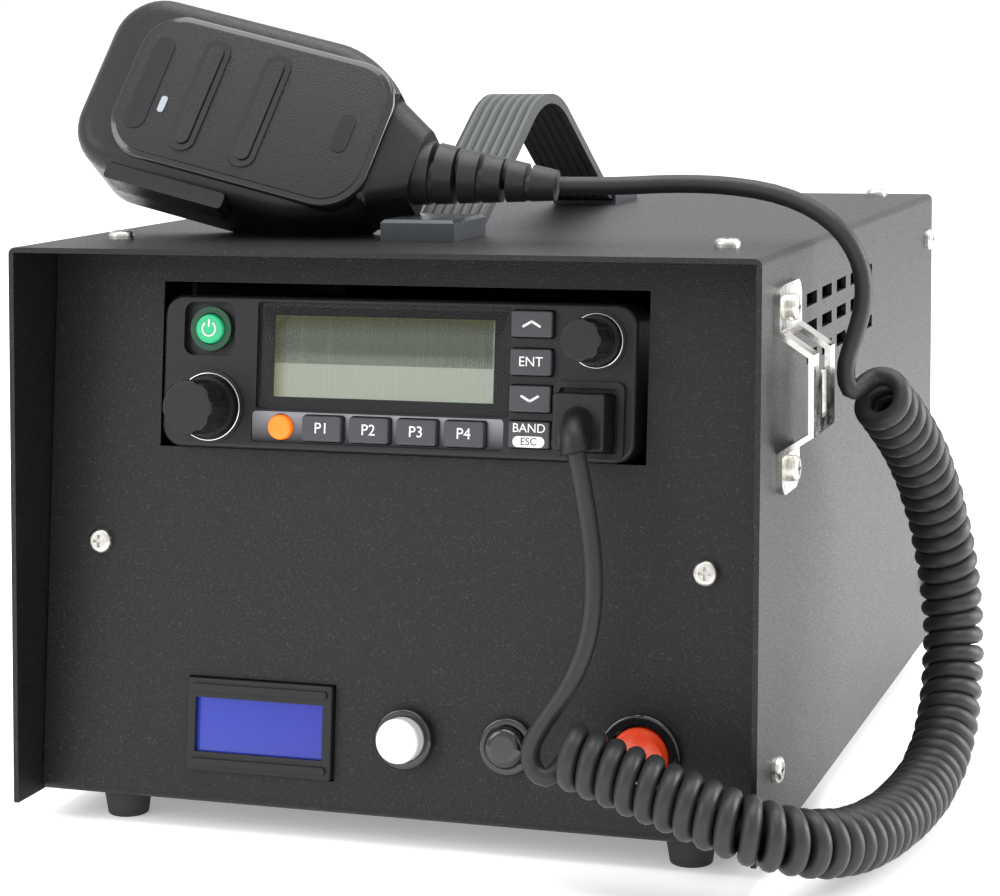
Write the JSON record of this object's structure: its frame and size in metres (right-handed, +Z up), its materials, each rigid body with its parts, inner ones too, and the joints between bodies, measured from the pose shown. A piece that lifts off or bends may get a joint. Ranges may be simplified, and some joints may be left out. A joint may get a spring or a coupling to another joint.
{
  "type": "base station transceiver",
  "caption": "Two-way radio in a folded steel desktop case with panel meter, push buttons, round rocker, strap handle, and a hand microphone on a curly cord.",
  "frame": {"origin": "on the surface the feet stand on, midway between the case's sides and its top front and back edges", "axes": "+X to the right seen from the front, +Y to the back, +Z up; the front panel faces -Y and leans back"},
  "size_m": [0.2604, 0.3113, 0.2337],
  "materials": {
    "powder_black": "fine textured powder coat",
    "zinc": "zinc plated",
    "nickel": "bright nickel",
    "satin_black": "satin",
    "textured_black": "fine grain",
    "gloss_black": "gloss",
    "rubber_grey": "ribbed",
    "cap_grey": "satin",
    "clear": "clear",
    "lcd": "reflective display",
    "silver": "satin",
    "orange": "translucent",
    "mint": "satin",
    "blue_screen": "backlit",
    "white": "gloss",
    "red": "gloss",
    "cord_rubber": "satin",
    "cast": "cast",
    "board": "board",
    "galvanised": "plain"
  },
  "bodies": {
    "case": {"antenna_socket": "nickel", "black_housing": "gloss_black", "button_nuts": "zinc", "case_screws": "zinc", "chassis": "powder_black", "cord_coil": "cord_rubber", "cord_front": "cord_rubber", "cord_rear": "cord_rubber", "cover": "powder_black", "encoders": "nickel", "foot_fl": "cord_rubber", "foot_fr": "cord_rubber", "foot_rl": "cord_rubber", "foot_rr": "cord_rubber", "foot_screws": "zinc", "handle_cap_front": "cap_grey", "handle_cap_rear": "cap_grey", "handle_screws": "zinc", "handle_strap": "rubber_grey", "hanger_screws": "zinc", "key_strip": "silver", "meter_bezel": "satin_black", "meter_body": "satin_black", "meter_glass": "blue_screen", "mic_hanger": "nickel", "mic_jack": "gloss_black", "mic_plug": "satin_black", "power_inlet": "gloss_black", "power_ring": "silver", "power_supply": "galvanised", "radio_body": "cast", "radio_cradle": "galvanised", "radio_face": "satin_black", "radio_lcd": "lcd", "radio_window": "clear", "rocker_housing": "gloss_black", "white_housing": "gloss_black"},
    "volume": {"knob_volume": "satin_black"},
    "channel": {"knob_channel": "satin_black"},
    "power": {"power_button": "mint"},
    "white_push": {"white_button": "white"},
    "black_push": {"black_button": "gloss_black"},
    "rocker_arm": {"rocker": "red"},
    "handset": {"mic_front": "textured_black", "mic_rear": "textured_black", "mic_stud": "nickel", "mic_led": "red", "mic_speaker": "satin_black", "mic_board": "board", "mic_relief": "cord_rubber"},
    "talk": {"mic_ptt": "satin_black"},
    "key_up_cap": {"key_up": "textured_black"},
    "key_enter_cap": {"key_enter": "textured_black"},
    "key_down_cap": {"key_down": "textured_black"},
    "key_band_cap": {"key_band": "textured_black"},
    "key_p1_cap": {"key_p1": "textured_black"},
    "key_p2_cap": {"key_p2": "textured_black"},
    "key_p3_cap": {"key_p3": "textured_black"},
    "key_p4_cap": {"key_p4": "textured_black"},
    "key_lamp_cap": {"key_lamp": "orange"}
  },
  "joints": [
    {"name": "key_up_press", "type": "slide", "parent": "case", "child": "key_up_cap", "axis": [0, 0.9919, -0.1269], "range_m": [0, 0.0007], "stiffness_N_per_m": 600, "springref_m": -0.0008},
    {"name": "key_enter_press", "type": "slide", "parent": "case", "child": "key_enter_cap", "axis": [0, 0.9919, -0.1269], "range_m": [0, 0.0007], "stiffness_N_per_m": 600, "springref_m": -0.0008},
    {"name": "key_down_press", "type": "slide", "parent": "case", "child": "key_down_cap", "axis": [0, 0.9919, -0.1269], "range_m": [0, 0.0007], "stiffness_N_per_m": 600, "springref_m": -0.0008},
    {"name": "key_band_press", "type": "slide", "parent": "case", "child": "key_band_cap", "axis": [0, 0.9919, -0.1269], "range_m": [0, 0.0007], "stiffness_N_per_m": 600, "springref_m": -0.0008},
    {"name": "key_p1_press", "type": "slide", "parent": "case", "child": "key_p1_cap", "axis": [0, 0.9919, -0.1269], "range_m": [0, 0.0007], "stiffness_N_per_m": 600, "springref_m": -0.0008},
    {"name": "key_p2_press", "type": "slide", "parent": "case", "child": "key_p2_cap", "axis": [0, 0.9919, -0.1269], "range_m": [0, 0.0007], "stiffness_N_per_m": 600, "springref_m": -0.0008},
    {"name": "key_p3_press", "type": "slide", "parent": "case", "child": "key_p3_cap", "axis": [0, 0.9919, -0.1269], "range_m": [0, 0.0007], "stiffness_N_per_m": 600, "springref_m": -0.0008},
    {"name": "key_p4_press", "type": "slide", "parent": "case", "child": "key_p4_cap", "axis": [0, 0.9919, -0.1269], "range_m": [0, 0.0007], "stiffness_N_per_m": 600, "springref_m": -0.0008},
    {"name": "key_lamp_press", "type": "slide", "parent": "case", "child": "key_lamp_cap", "axis": [0, 0.9919, -0.1269], "range_m": [0, 0.0007], "stiffness_N_per_m": 600, "springref_m": -0.0008},
    {"name": "power_press", "type": "slide", "parent": "case", "child": "power", "axis": [0, 0.9919, -0.1269], "range_m": [0, 0.0007], "stiffness_N_per_m": 600, "springref_m": -0.0008},
    {"name": "white_press", "type": "slide", "parent": "case", "child": "white_push", "axis": [0, 0.9919, -0.1269], "range_m": [0, 0.002], "stiffness_N_per_m": 600, "springref_m": -0.002},
    {"name": "black_press", "type": "slide", "parent": "case", "child": "black_push", "axis": [0, 0.9919, -0.1269], "range_m": [0, 0.002], "stiffness_N_per_m": 600, "springref_m": -0.002},
    {"name": "volume_turn", "type": "hinge", "parent": "case", "child": "volume", "pos_m": [-0.0549, -0.11897, 0.1199], "axis": [0, -0.9919, 0.1269], "range_deg": [-140, 140]},
    {"name": "channel_turn", "type": "hinge", "parent": "case", "child": "channel", "pos_m": [0.058, -0.11626, 0.14103], "axis": [0, -0.9919, 0.1269], "continuous": true},
    {"name": "rocker_tip", "type": "hinge", "parent": "case", "child": "rocker_arm", "pos_m": [0.0722, -0.12637, 0.03052], "axis": [1, 0, 0], "range_deg": [-18, 0]},
    {"name": "handset_lift", "type": "slide", "parent": "case", "child": "handset", "axis": [0, 0, 1], "range_m": [0, 0.04]},
    {"name": "talk_press", "type": "slide", "parent": "handset", "child": "talk", "axis": [0.2127, 0.4648, 0.8595], "range_m": [0, 0.0015], "stiffness_N_per_m": 800, "springref_m": -0.002}
  ]
}
